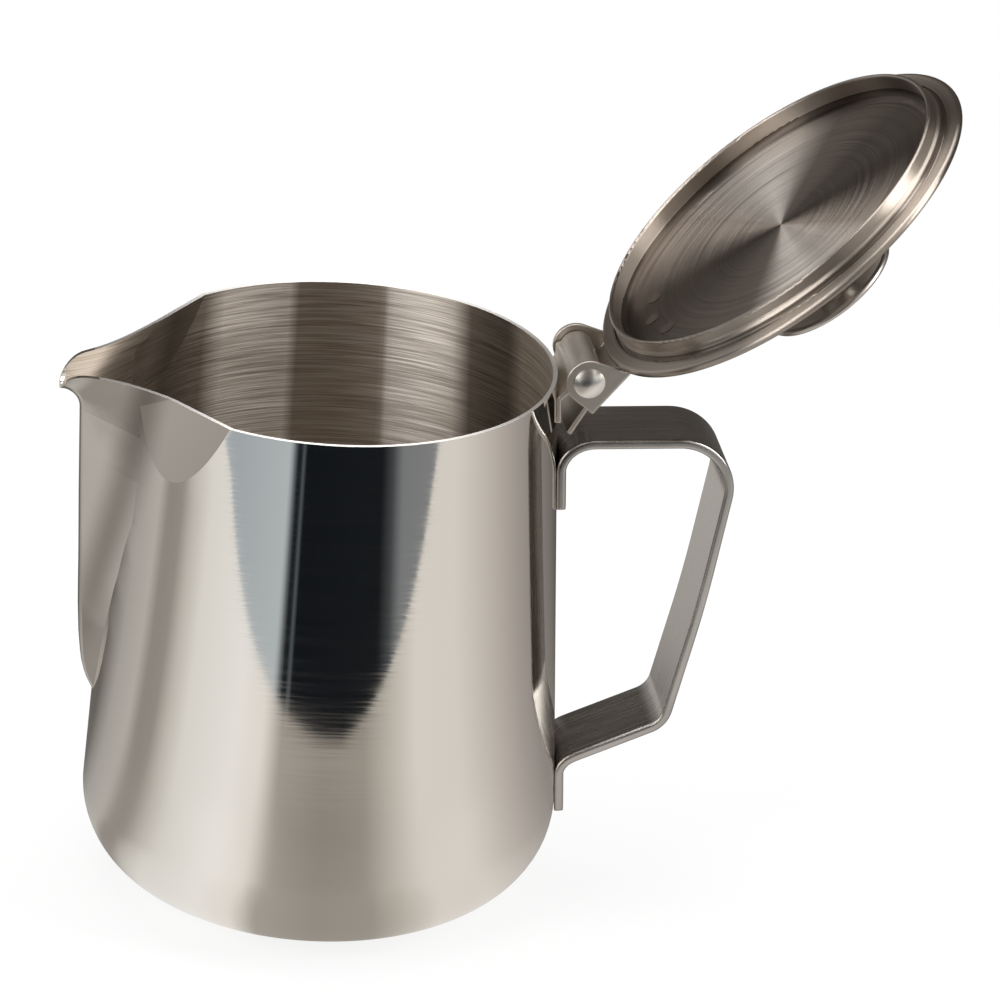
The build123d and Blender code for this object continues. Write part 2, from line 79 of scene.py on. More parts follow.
# %% Places on the spinning piece
def spun(tree, lid):
    """Place upright about the piece's axis, and the direction in which its scratches run."""
    place = add(tree, "ShaderNodeTexCoord").outputs["Object"]
    if lid:
        moved = add(tree, "ShaderNodeVectorMath", {0: place, 1: pin}, operation="SUBTRACT")
        turned = add(tree, "ShaderNodeVectorRotate", {"Vector": moved.outputs[0], "Angle": -open_turn},
                     rotation_type="Y_AXIS")
        place = add(tree, "ShaderNodeVectorMath", {0: turned.outputs[0], 1: pin}).outputs[0]
    parts = add(tree, "ShaderNodeSeparateXYZ", {0: place})
    back = add(tree, "ShaderNodeMath", {0: parts.outputs["Y"], 1: -1.0}, operation="MULTIPLY")
    along = add(tree, "ShaderNodeCombineXYZ", {"X": back.outputs[0], "Y": parts.outputs["X"]}).outputs[0]
    if lid:
        along = add(tree, "ShaderNodeVectorRotate", {"Vector": along, "Angle": open_turn},
                    rotation_type="Y_AXIS").outputs[0]
    world = add(tree, "ShaderNodeVectorTransform", {0: along}, vector_type="VECTOR",
                convert_from="OBJECT", convert_to="WORLD")
    direction = add(tree, "ShaderNodeVectorMath", {0: world.outputs[0]}, operation="NORMALIZE")
    return place, direction.outputs[0]

# %% [markdown]
# A scratch is a spot of noise drawn out lengthwise. Noise has spots about as wide as they are long,
# so the place is divided by a different size along each axis before the noise is looked up.
# Real brushing is finer than 0.1 mm. It is drawn 0.2 mm wide and more, or it would vanish in the picture.
# Noise seldom goes below 0.3 or above 0.7, so those two are taken as its ends where it is used.

# %% Noise drawn out into scratches
noise_low, noise_high = 0.3, 0.7

def scratches(tree, place, size, detail):
    """Noise stretched to the three sizes given in metres."""
    scaled = add(tree, "ShaderNodeVectorMath", {0: place, 1: [1 / s for s in size]}, operation="MULTIPLY")
    noise = add(tree, "ShaderNodeTexNoise", {"Vector": scaled.outputs[0], "Scale": 1.0, "Detail": detail})
    return noise.outputs["Fac"]

# %% [markdown]
# Both the studio and the brushing change with the direction round the jug's upright axis.
# So one function takes a place or a direction, finds how far round it lies, and looks up a colour there.
# Its stops are read like a compass card: 0 degrees is the handle, 180 the spout, -90 the photographer.

# %% Colours round the jug
full_turn = 360

def colour_round(tree, vector, stops):
    """A colour from stops of (degrees from the handle, hex), by the direction round the axis."""
    parts = add(tree, "ShaderNodeSeparateXYZ", {0: vector})
    turn = add(tree, "ShaderNodeMath", {0: parts.outputs["Y"], 1: parts.outputs["X"]}, operation="ARCTAN2")
    share = add(tree, "ShaderNodeMapRange", {"Value": turn.outputs[0], "From Min": -math.pi,
                                             "From Max": math.pi})
    node = add(tree, "ShaderNodeValToRGB", {"Fac": share.outputs[0]})
    points = node.color_ramp.elements
    for number, (degrees, hex_value) in enumerate(stops):
        place = degrees / full_turn + 0.5
        point = points[number] if number < 2 else points.new(place)
        point.position = place
        point.color = colour(hex_value)
    return node.outputs["Color"]

# %% [markdown]
# Every piece is stainless steel of the same kind: a metal whose mirror image is a little warm and grey.
# What differs is how its surface was made. Buffing leaves it nearly flat, so its roughness is low.
# Brushing leaves grooves, and light spreads across them, which is what Anisotropic gives:
# a quarter turn sets the spread across the scratches. Bevel rounds the look of an edge as a deburring
# wheel does. The bump's height is in metres, so its distance stays at 1.

# %% The steel itself
across_scratches = 0.25
edge_samples = 6

def steel(tree, tint, roughness, tangent=None, height=None, anisotropy=0.0, soft_edge=0.0):
    """Stainless steel with a tint, a roughness and, where given, scratches and soft edges."""
    inputs = {"Base Color": tint, "Metallic": 1.0, "Roughness": roughness, "Anisotropic": anisotropy}
    if tangent:
        inputs["Tangent"] = tangent
        inputs["Anisotropic Rotation"] = across_scratches
    if soft_edge:
        rounded = add(tree, "ShaderNodeBevel", {"Radius": soft_edge}, samples=edge_samples)
        inputs["Normal"] = rounded.outputs[0]
    if height:
        bump = add(tree, "ShaderNodeBump", {"Height": height, "Distance": 1.0})
        if soft_edge:
            tree.links.new(rounded.outputs[0], bump.inputs["Normal"])
        inputs["Normal"] = bump.outputs[0]
    shader = add(tree, "ShaderNodeBsdfPrincipled", inputs)
    add(tree, "ShaderNodeOutputMaterial", {"Surface": shader.outputs[0]})

# %% [markdown]
# The jug body is one sheet, drawn into a cup. Outside it was buffed to a mirror, its rounded foot
# was left satin, and inside it was only brushed. It is one piece, so one material tells the zones apart.
# Faces inside point at the jug's axis. The satin is a range of heights.
# The cut edge of the rim faces straight up. There the steel is rougher and painted near white, a painted
# highlight from the light overhead.
# The top of the flared lip nearly faces up too, and it is polished, so the rim's finish ends where the spout
# begins.

# %% Zones of the jug body
inward_least = 8 * mm       # radius times how squarely a face looks at the axis
satin_below = 28 * mm
mirror_above = 43 * mm
level_least = 0.9           # upward part of a direction of length 1
rim_above = 90 * mm
spout_before = -45 * mm

def jug_zones(tree, place, normal):
    """How much of the inside, of the satin foot and of the rim's edge a point has."""
    parts = add(tree, "ShaderNodeSeparateXYZ", {0: place}).outputs
    flat = add(tree, "ShaderNodeCombineXYZ", {"X": parts["X"], "Y": parts["Y"]})
    outward = add(tree, "ShaderNodeVectorMath", {0: flat.outputs[0], 1: normal}, operation="DOT_PRODUCT")
    inside = add(tree, "ShaderNodeMath", {0: outward.outputs["Value"], 1: -inward_least},
                 operation="LESS_THAN")
    satin = add(tree, "ShaderNodeMapRange", {"Value": parts["Z"], "From Min": satin_below,
                                             "From Max": mirror_above, "To Min": 1.0, "To Max": 0.0})
    upright = add(tree, "ShaderNodeSeparateXYZ", {0: normal}).outputs["Z"]
    level = add(tree, "ShaderNodeMath", {0: upright, 1: level_least}, operation="GREATER_THAN")
    high = add(tree, "ShaderNodeMath", {0: parts["Z"], 1: rim_above}, operation="GREATER_THAN")
    behind = add(tree, "ShaderNodeMath", {0: parts["X"], 1: spout_before}, operation="GREATER_THAN")
    rim = add(tree, "ShaderNodeMath", {0: level.outputs[0], 1: high.outputs[0]}, operation="MULTIPLY")
    rim = add(tree, "ShaderNodeMath", {0: rim.outputs[0], 1: behind.outputs[0]}, operation="MULTIPLY")
    return inside.outputs[0], satin.outputs[0], rim.outputs[0]

print("satin up to", round(satin_below / mm), "mm and all mirror from", round(mirror_above / mm), "mm")

# %% [markdown]
# Beside the spout the pressing left a shallow valley in the wall, which shows as a soft darker line
# that runs down and forward. The solid has a plain crease there. The valley could be sculpted,
# but the mesh is kept as it is, so the skin is only tinted darker along the line: a painted dark reflection.

# %% The valley beside the spout
valley_at_base = -56.3 * mm
valley_lean_share = 0.19    # how far it moves back for each length upwards
valley_half = 4.5 * mm
valley_low = 40 * mm
valley_high = 62 * mm

def painted_valley_mask(tree, place):
    """One along the line of the valley, fading to nothing on both sides and downwards."""
    parts = add(tree, "ShaderNodeSeparateXYZ", {0: place}).outputs
    line = add(tree, "ShaderNodeMath", {0: parts["Z"], 1: valley_lean_share, 2: valley_at_base},
               operation="MULTIPLY_ADD")
    off = add(tree, "ShaderNodeMath", {0: parts["X"], 1: line.outputs[0]}, operation="SUBTRACT")
    gap = add(tree, "ShaderNodeMath", {0: off.outputs[0]}, operation="ABSOLUTE")
    near = add(tree, "ShaderNodeMapRange", {"Value": gap.outputs[0], "From Max": valley_half,
                                            "To Min": 1.0, "To Max": 0.0}, interpolation_type="SMOOTHSTEP")
    fade = add(tree, "ShaderNodeMapRange", {"Value": parts["Z"], "From Min": valley_low,
                                            "From Max": valley_high})
    valley = add(tree, "ShaderNodeMath", {0: near.outputs[0], 1: fade.outputs[0]}, operation="MULTIPLY")
    return valley.outputs[0]

print("the valley fades out", round(valley_half / mm, 1), "mm to each side")

# %% [markdown]
# The Mix node has its A and B sockets once for every type of data, all under the same names.
# They are picked by number, and naming those numbers once keeps the later cells readable.

# %% Sockets of the Mix node
number_a, number_b, mixed_number = 2, 3, 0
colour_a, colour_b, mixed_colour = 6, 7, 2
print("a Mix node's colours are its inputs", colour_a, "and", colour_b)

# %% [markdown]
# Inside a brushed cup the studio shows as broad upright bands, bright where a wall looks at a light.
# A render gets little of that, because light inside the cup bounces many times and evens out.
# So the tint stands in for them: it is paler where the real wall is bright. It is fixed to the piece
# and doesn't move with the lights. Both sides of the cup are alike, so one half is listed
# and the other is its mirror image. Over it lie the scratches, paler and darker by turns.

# %% Bands and streaks inside the jug
half_bands = [(0, "#C4BEB7"), (24, "#C4BEB7"), (30, "#8A837B"), (45, "#8F8880"), (51, "#F2F0EE"),
              (70, "#FFFFFF"), (72, "#B6AFA8"), (96, "#B6AFA8"), (98, "#FFFFFF"), (118, "#F2F0EE"),
              (125, "#9A938B"), (140, "#8A837B"), (150, "#B6AFA8"), (180, "#B6AFA8")]
other_bands = [(-degrees, hex_value) for degrees, hex_value in half_bands if 0 < degrees < 180]
inside_bands = half_bands + other_bands
streak_low, streak_high = 0.32, 0.68
dark_streak = "#BFB5AA"
pale_streak = "#FFF9F1"

def inside_tint(tree, place, streaks):
    """Pale and dark streaks, times the bands round the cup."""
    share = add(tree, "ShaderNodeMapRange", {"Value": streaks, "From Min": streak_low,
                                             "From Max": streak_high})
    streaked = add(tree, "ShaderNodeMix", {"Factor": share.outputs[0], colour_a: colour(dark_streak),
                                           colour_b: colour(pale_streak)}, data_type="RGBA")
    bands = colour_round(tree, place, inside_bands)
    banded = add(tree, "ShaderNodeMix", {"Factor": 1.0, colour_a: streaked.outputs[mixed_colour],
                                         colour_b: bands}, data_type="RGBA", blend_type="MULTIPLY")
    return banded.outputs[mixed_colour]

print(len(inside_bands), "stops round the inside")

# %% [markdown]
# Now the jug's own material: 18/10 stainless steel, buffed outside, satin at the foot, brushed inside.
# To the eye the buffed part is a clear mirror with faint rings, the satin part a soft one,
# and the inside a grey glow with fine level streaks.
# The rings tilt the mirror by a hair, which gives dark reflections their ragged edges.

# %% Sizes of the jug's scratches
inside_scratch = (15 * mm, 15 * mm, 0.2 * mm)
buffing_ring = (18 * mm, 18 * mm, 0.45 * mm)
scratch_detail = 3.0
scratch_depth = 0.008 * mm
ring_depth = 0.0027 * mm
mirror_low, mirror_high = 0.03, 0.09                # roughness, which runs from 0 to 1
brushed_low, brushed_high = 0.46, 0.6
satin_roughness = 0.23
rim_roughness = 0.45
print("scratches inside the jug are", round(inside_scratch[2] / mm, 2), "mm wide")

# %% [markdown]
# Roughness is how far a surface blurs its mirror image, and it can differ from place to place.
# Each zone takes its own, with the scratches in it, and the zones are laid over one another.
# The relief is the scratches again, as heights: grooves inside, and far shallower ripples outside.

# %% The jug's roughness and relief
def jug_surface(tree, inside, satin, rim, fine, rings):
    """Roughness and height in the jug's zones."""
    mirror = add(tree, "ShaderNodeMapRange", {"Value": rings, "From Min": noise_low, "From Max": noise_high,
                                              "To Min": mirror_low, "To Max": mirror_high})
    outside = add(tree, "ShaderNodeMix", {"Factor": satin, number_a: mirror.outputs[0],
                                          number_b: satin_roughness})
    brushed = add(tree, "ShaderNodeMapRange", {"Value": fine, "From Min": noise_low, "From Max": noise_high,
                                               "To Min": brushed_low, "To Max": brushed_high})
    wall = add(tree, "ShaderNodeMix", {"Factor": inside, number_a: outside.outputs[mixed_number],
                                       number_b: brushed.outputs[0]})
    rough = add(tree, "ShaderNodeMix", {"Factor": rim, number_a: wall.outputs[mixed_number],
                                        number_b: rim_roughness})
    grooves = add(tree, "ShaderNodeMath", {0: fine, 1: scratch_depth}, operation="MULTIPLY")
    ripples = add(tree, "ShaderNodeMath", {0: rings, 1: ring_depth}, operation="MULTIPLY")
    height = add(tree, "ShaderNodeMix", {"Factor": inside, number_a: ripples.outputs[0],
                                         number_b: grooves.outputs[0]})
    return rough.outputs[mixed_number], height.outputs[mixed_number]

# %% [markdown]
# Blender puts a first shader into every new material. A finish here is built from nothing,
# so one function makes the material and clears it.

# %% An empty material
def new_material(name):
    """A material with nothing in it but its name."""
    material = bpy.data.materials.new(name)
    material.use_nodes = True
    material.node_tree.nodes.clear()
    return material, material.node_tree

# %% [markdown]
# The tints are mixed one over the other: first the polished wall with the painted dark reflection along its
# valley, over it the brushed inside, and last the painted highlight on the rim's cut edge.

# %% The jug's material
polished_tint = "#E2DDD6"
# This colour is a painted dark reflection along the valley beside the spout.
valley_painted_reflection = "#A8A29B"
# This colour is a painted highlight on the rim's upward faces.
rim_painted_highlight = "#FFFCF8"
jug_spread = 0.7            # how far the scratches draw out a highlight

def polished_jug_steel():
    """Mirror polished above, satin round the foot, brushed in rings inside."""
    material, tree = new_material("polished_jug_steel")
    place, direction = spun(tree, lid=False)
    normal = add(tree, "ShaderNodeTexCoord").outputs["Normal"]
    inside, satin, rim = jug_zones(tree, place, normal)
    fine = scratches(tree, place, inside_scratch, scratch_detail)
    rings = scratches(tree, place, buffing_ring, scratch_detail)
    skin = add(tree, "ShaderNodeMix", {"Factor": painted_valley_mask(tree, place), colour_a: colour(polished_tint),
                                       colour_b: colour(valley_painted_reflection)}, data_type="RGBA")
    wall = add(tree, "ShaderNodeMix", {"Factor": inside, colour_a: skin.outputs[mixed_colour],
                                       colour_b: inside_tint(tree, place, fine)}, data_type="RGBA")
    tint = add(tree, "ShaderNodeMix", {"Factor": rim, colour_a: wall.outputs[mixed_colour],
                                       colour_b: colour(rim_painted_highlight)}, data_type="RGBA")
    rough, height = jug_surface(tree, inside, satin, rim, fine, rings)
    steel(tree, tint.outputs[mixed_colour], rough, direction, height, anisotropy=jug_spread)
    print(material.name, "has", len(tree.nodes), "nodes")
    return material

# %% [markdown]
# The lid is spun under a brush, so its scratches are rings about its middle. To the eye such a disc
# shows two bright fans that meet in the middle, where light falls across the scratches.
# The shader makes them, and a tint in the same directions makes them as strong as on the real lid.
# The tint is fixed to the lid, like the bands inside the jug.
# In the corner where the disc meets the skirt the steel is painted dark brown, a painted shade in the
# crease.

# %% Sizes on the lid
disc_edge = 34.5 * mm
corner_from = 33.2 * mm
corner_full = 34.3 * mm
skirt_face = 35.06 * mm
corner_share = 0.9
lid_scratch = (0.22 * mm, 0.9 * mm, 0.9 * mm)       # across the rings, then twice along them
ring_wander_share = 0.02    # how little a ring changes along its length
lid_scratch_detail = 2.0
lid_scratch_depth = 0.0035 * mm
corner_reach = 3 * mm
corner_samples = 8
closed_in, open_to_air = 0.4, 0.8           # share of open air over a point
lid_rough_low, lid_rough_high = 0.28, 0.42
lid_spread = 0.94
lid_fans = [(-180, "#A8A29D"), (180, "#A8A29D"), (-150, "#8F8984"), (-125, "#A39D98"), (-105, "#F4F2F0"),
            (-90, "#FFFFFF"), (-78, "#F0EEEC"), (-62, "#A39D98"), (-30, "#8A847F"), (0, "#96908B"),
            (35, "#8F8984"), (62, "#AEA8A3"), (79, "#F4F2F0"), (95, "#FFFFFF"), (111, "#F4F2F0"),
            (128, "#A09A95"), (160, "#8A847F")]
print(len(lid_fans), "stops round the lid")

# %% [markdown]
# A ring is where the distance from the middle stays the same. So noise that changes quickly with
# that distance, and hardly at all with the place, is drawn out into rings.

# %% The lid's rings
def lid_rings(tree, place):
    """Distance from the lid's middle, and noise in fine rings about it."""
    parts = add(tree, "ShaderNodeSeparateXYZ", {0: place}).outputs
    flat = add(tree, "ShaderNodeCombineXYZ", {"X": parts["X"], "Y": parts["Y"]})
    radius = add(tree, "ShaderNodeVectorMath", {0: flat.outputs[0]}, operation="LENGTH").outputs["Value"]
    side = add(tree, "ShaderNodeMath", {0: parts["X"], 1: ring_wander_share}, operation="MULTIPLY")
    deep = add(tree, "ShaderNodeMath", {0: parts["Y"], 1: ring_wander_share}, operation="MULTIPLY")
    ring = add(tree, "ShaderNodeCombineXYZ", {"X": radius, "Y": side.outputs[0], "Z": deep.outputs[0]})
    return radius, scratches(tree, ring.outputs[0], lid_scratch, lid_scratch_detail)

# %% [markdown]
# The lid's colour is laid on in the same way as the jug's: streaks first, the fans over them,
# and then the painted shade in the corner. Ambient Occlusion finds where little open air reaches the steel,
# under the flange and beside the hinge, and darkens it a little more: painted shade there too.

# %% The lid's tint
dark_ring = "#B4ADA6"
pale_ring = "#DCD5CE"
skirt_tint = "#D6D1CC"
# This colour is painted shade in the corner where the disc meets the skirt.
corner_painted_shade = "#3E342D"
# This colour is painted shade, laid where Ambient Occlusion finds little open air.
closed_in_painted_shade = "#5A4F46"

def lid_tint(tree, place, radius, fine):
    """Streaks, times the fans on the disc, and painted shade in the corner by the skirt and where little air
    reaches.
    """
    share = add(tree, "ShaderNodeMapRange", {"Value": fine, "From Min": noise_low, "From Max": noise_high})
    streaked = add(tree, "ShaderNodeMix", {"Factor": share.outputs[0], colour_a: colour(dark_ring),
                                           colour_b: colour(pale_ring)}, data_type="RGBA")
    on_disc = add(tree, "ShaderNodeMath", {0: radius, 1: disc_edge}, operation="LESS_THAN")
    fans = add(tree, "ShaderNodeMix", {"Factor": on_disc.outputs[0], colour_a: colour(skirt_tint),
                                       colour_b: colour_round(tree, place, lid_fans)}, data_type="RGBA")
    fanned = add(tree, "ShaderNodeMix", {"Factor": 1.0, colour_a: streaked.outputs[mixed_colour],
                                         colour_b: fans.outputs[mixed_colour]},
                 data_type="RGBA", blend_type="MULTIPLY")
    rising = add(tree, "ShaderNodeMapRange", {"Value": radius, "From Min": corner_from,
                                              "From Max": corner_full, "To Max": corner_share})
    within = add(tree, "ShaderNodeMath", {0: radius, 1: skirt_face}, operation="LESS_THAN")
    corner = add(tree, "ShaderNodeMath", {0: rising.outputs[0], 1: within.outputs[0]}, operation="MULTIPLY")
    corner_shaded = add(tree, "ShaderNodeMix", {"Factor": corner.outputs[0], colour_a: fanned.outputs[mixed_colour],
                                         colour_b: colour(corner_painted_shade)}, data_type="RGBA")
    air = add(tree, "ShaderNodeAmbientOcclusion", {"Distance": corner_reach}, samples=corner_samples)
    unshaded_share = add(tree, "ShaderNodeMapRange", {"Value": air.outputs["AO"], "From Min": closed_in,
                                             "From Max": open_to_air})
    tint = add(tree, "ShaderNodeMix", {"Factor": unshaded_share.outputs[0], colour_a: colour(closed_in_painted_shade),
                                       colour_b: corner_shaded.outputs[mixed_colour]}, data_type="RGBA")
    return tint.outputs[mixed_colour]

# %% [markdown]
# The rings give the lid's roughness and relief as well. They spread light more
# than those on the jug do, so a highlight on the lid is drawn out into a long fan.

# %% The lid's material
def spun_lid_steel():
    """Brushed in fine rings about the lid's middle."""
    material, tree = new_material("spun_lid_steel")
    place, direction = spun(tree, lid=True)
    radius, fine = lid_rings(tree, place)
    rough = add(tree, "ShaderNodeMapRange", {"Value": fine, "From Min": noise_low, "From Max": noise_high,
                                             "To Min": lid_rough_low, "To Max": lid_rough_high})
    height = add(tree, "ShaderNodeMath", {0: fine, 1: lid_scratch_depth}, operation="MULTIPLY")
    tint = lid_tint(tree, place, radius, fine)
    steel(tree, tint, rough.outputs[0], direction, height.outputs[0], anisotropy=lid_spread)
    print(material.name, "has", len(tree.nodes), "nodes")
    return material

# %% [markdown]
# The handle is a strip of steel that was brushed along its length on a belt before it was bent,
# and its edges were rounded and polished. To the eye its faces are grey silk and its edges bright lines.
# Its scratches run along the strip, so the noise is long in X and Z and narrow across, in Y.

# %% The handle's material
strip_scratch = (14 * mm, 0.3 * mm, 14 * mm)
strip_scratch_detail = 4.0
strip_scratch_depth = 0.0025 * mm
strip_rough_low, strip_rough_high = 0.18, 0.3
dark_grain = "#A39F9B"
pale_grain = "#BDB9B5"
worn_edge = 0.5 * mm

def brushed_strip_steel():
    """Brushed along the strip, with softly rounded edges."""
    material, tree = new_material("brushed_strip_steel")
    place = add(tree, "ShaderNodeTexCoord").outputs["Object"]
    fine = scratches(tree, place, strip_scratch, strip_scratch_detail)
    rough = add(tree, "ShaderNodeMapRange", {"Value": fine, "From Min": noise_low, "From Max": noise_high,
                                             "To Min": strip_rough_low, "To Max": strip_rough_high})
    share = add(tree, "ShaderNodeMapRange", {"Value": fine, "From Min": noise_low, "From Max": noise_high})
    tint = add(tree, "ShaderNodeMix", {"Factor": share.outputs[0], colour_a: colour(dark_grain),
                                       colour_b: colour(pale_grain)}, data_type="RGBA")
    height = add(tree, "ShaderNodeMath", {0: fine, 1: strip_scratch_depth}, operation="MULTIPLY")
    steel(tree, tint.outputs[mixed_colour], rough.outputs[0], height=height.outputs[0], soft_edge=worn_edge)
    print(material.name, "has", len(tree.nodes), "nodes")
    return material

# %% [markdown]
# The hinge and the knob were tumbled in a drum, which leaves no direction, only a faint cloudiness.
# Both are satin. The hinge's bends are sharp in the solid, so the edge rounding matters most there.
# The rivet is brighter, because the riveting tool pressed its heads smooth.
# A spot weld is a dull brown disc, where the heat coloured the steel, and it is cloudy too.

# %% Cloudy steel
cloud = 2 * mm
cloud_detail = 3.0

def cloudy_steel(name, tint, low, high, soft_edge=0.0):
    """Steel whose roughness changes in soft clouds between two values."""
    material, tree = new_material(name)
    place = add(tree, "ShaderNodeTexCoord").outputs["Object"]
    clouds = scratches(tree, place, (cloud, cloud, cloud), cloud_detail)
    rough = add(tree, "ShaderNodeMapRange", {"Value": clouds, "To Min": low, "To Max": high})
    steel(tree, colour(tint), rough.outputs[0], soft_edge=soft_edge)
    print(material.name, "has", len(tree.nodes), "nodes")
    return material

satin_hinge = cloudy_steel("satin_hinge_steel", "#CCC4BB", low=0.3, high=0.4, soft_edge=worn_edge)
polished_rivet = cloudy_steel("polished_rivet_steel", "#E4E0DA", low=0.24, high=0.34)
satin_knob = cloudy_steel("satin_knob_steel", "#CEC8C1", low=0.3, high=0.34)
spot_weld = cloudy_steel("spot_weld_steel", "#6A6057", low=0.3, high=0.45)

# %% [markdown]
# Each piece of the frame now gets its finish. The pieces keep their names and their places.

# %% Put the finishes on the pieces
finishes = {
    "jug_shell": polished_jug_steel(),
    "handle_strap": brushed_strip_steel(),
    "handle_welds": spot_weld,
    "hinge_leaf": satin_hinge,
    "leaf_welds": spot_weld,
    "hinge_pin": polished_rivet,
    "lid_pan": spun_lid_steel(),
    "lid_bracket": satin_hinge,
    "bracket_welds": spot_weld,
    "knob_cap": satin_knob,
    "knob_stem": satin_knob,
    "knob_welds": spot_weld,
}
for name, piece in frame["nodes"].items():
    piece.data.materials.clear()
    piece.data.materials.append(finishes[name])
print("finished", len(finishes), "pieces")

# %% [markdown]
# Polished steel has almost no colour of its own: it shows the studio around it.
# So the studio makes the picture. The jug stands on white paper that ends close in front of it,
# and past that edge the room is dark where the photographer stands, with pale walls on both sides.
# Real walls and cards could be built. Colours by direction do the same with fewer pieces.
# The first list is the paper as the steel sees it, the second the room beyond its front edge,
# and the third what stands higher than the table.

# %% The light from each side
paper_light = [(-180, "#9E9A96"), (180, "#9E9A96"), (-175, "#A29E9A"), (-168, "#CFCCC8"), (-158, "#F0F0EE"),
               (-134, "#FFFFFF"), (-122, "#F8F6F2"), (-114, "#B4B0AA"), (-96, "#A6A19A"), (-79, "#AAA69F"),
               (-67, "#D2CEC8"), (-56, "#EFECE8"), (-36, "#ECE9E5"), (-12, "#CBC6C2"), (3, "#B2ADA9"),
               (19, "#9A9592"), (40, "#807B77"), (55, "#5E5A57"), (72, "#625E5A"), (84, "#DAD6D1"),
               (112, "#DAD6D1"), (122, "#6A6662"), (138, "#6E6A66"), (154, "#B4B2AF"), (169, "#C4C2BE"),
               (176, "#9E9A96")]
room_light = [(-180, "#9AA0A4"), (180, "#9AA0A4"), (-150, "#B0BBC4"), (-119, "#C2CCD3"), (-116, "#2A3036"),
              (-113.6, "#171B20"), (-112.9, "#808B92"), (-112.2, "#14181D"), (-74, "#181C20"),
              (-69, "#484C50"), (-64, "#84898D"), (-45, "#8A8E92"), (-15, "#7C7C7C"), (20, "#6E6B68"),
              (90, "#78736D"), (150, "#8A8784")]
upper_light = [(-180, "#34312F"), (180, "#34312F"), (-172, "#3A3735"), (-163, "#DAD6D1"), (-121, "#F4F1ED"),
               (-117, "#5C5753"), (-71, "#5C5753"), (-67, "#F4F1ED"), (-22, "#E4E1DC"), (-13, "#3A3735"),
               (12, "#34312F"), (40, "#45423F"), (83, "#625D58"), (106, "#524E4A"), (120, "#A8A49F"),
               (130, "#FFFFFF"), (148, "#FFFFFF"), (158, "#5A5652")]
print("stops on the paper, in the room, above:", len(paper_light), len(room_light), len(upper_light))

# %% [markdown]
# The paper lies just under the jug's foot. In front it ends in a corner, and two straight lines
# meet there: a point is on the paper when it lies behind either of them.
# The corner is what gives the dark mirror image on the jug its pointed foot.

# %% The edge of the paper
paper_front = 174 * mm
corner_front = 172 * mm
corner_slope_share = 0.36
edge_blur = 1 * mm

def paper_share(tree, place):
    """One on the paper and zero beyond its front edge."""
    parts = add(tree, "ShaderNodeSeparateXYZ", {0: place}).outputs
    front = add(tree, "ShaderNodeMath", {0: parts["Y"], 1: paper_front}, operation="ADD")
    behind = add(tree, "ShaderNodeMath", {0: parts["Y"], 1: corner_front}, operation="ADD")
    slant = add(tree, "ShaderNodeMath", {0: parts["X"], 1: corner_slope_share, 2: behind.outputs[0]},
                operation="MULTIPLY_ADD")
    either = add(tree, "ShaderNodeMath", {0: front.outputs[0], 1: slant.outputs[0]}, operation="MAXIMUM")
    share = add(tree, "ShaderNodeMapRange", {"Value": either.outputs[0], "From Min": -edge_blur,
                                             "From Max": edge_blur})
    return share.outputs[0]

# %% [markdown]
# The camera sees the paper white, with the jug's soft shadow. Part of it shines by itself,
# all of it further out, so that it runs into the white background without a line.
# Only the rays that the steel sends out, the glossy ones, see the colours of the studio.

# %% The floor
floor_radius = 3.0
floor_gap = 0.02 * mm
floor_corners = 64
shine_near = 0.85           # how much of the paper's white is its own, near the jug
shadow_reach = 0.12         # distances from the jug's axis, in metres
all_white = 0.5
paper_tint = "#F4F4F4"
plain_white = "#FFFFFF"

def studio_floor():
    """White paper under the jug. Past its front edge the mirror image sees the room."""
    bpy.ops.mesh.primitive_circle_add(vertices=floor_corners, radius=floor_radius, fill_type="NGON",
                                      location=(0, 0, -floor_gap))
    floor = bpy.context.object
    floor.name = "floor"
    material, tree = new_material("white_paper")
    place = add(tree, "ShaderNodeTexCoord").outputs["Object"]
    seen = add(tree, "ShaderNodeMix", {"Factor": paper_share(tree, place),
                                       colour_a: colour_round(tree, place, room_light),
                                       colour_b: colour_round(tree, place, paper_light)}, data_type="RGBA")
    mirrored = add(tree, "ShaderNodeEmission", {"Color": seen.outputs[mixed_colour], "Strength": 1.0})
    paper = add(tree, "ShaderNodeBsdfDiffuse", {"Color": colour(paper_tint)})
    white = add(tree, "ShaderNodeEmission", {"Color": colour(plain_white), "Strength": 1.0})
    distance = add(tree, "ShaderNodeVectorMath", {0: place}, operation="LENGTH").outputs["Value"]
    shine = add(tree, "ShaderNodeMapRange", {"Value": distance, "From Min": shadow_reach,
                                             "From Max": all_white, "To Min": shine_near})
    lit = add(tree, "ShaderNodeMixShader", {0: shine.outputs[0], 1: paper.outputs[0], 2: white.outputs[0]})
    path = add(tree, "ShaderNodeLightPath")
    mix = add(tree, "ShaderNodeMixShader", {0: path.outputs["Is Glossy Ray"], 1: lit.outputs[0],
                                            2: mirrored.outputs[0]})
    add(tree, "ShaderNodeOutputMaterial", {"Surface": mix.outputs[0]})
    floor.data.materials.append(material)
    print(floor.name, "has", len(tree.nodes), "nodes")

studio_floor()

# %% [markdown]
# The world does the same for what stands higher than the table. The camera sees white,
# the steel sees the room and, overhead, one broad soft light, and everything else gets an even grey.

# %% The world
overhead_from = 0.72        # height of a direction of length 1
overhead_full = 0.97
overhead_tint = "#E8E6E2"
even_grey = "#9A9A9A"

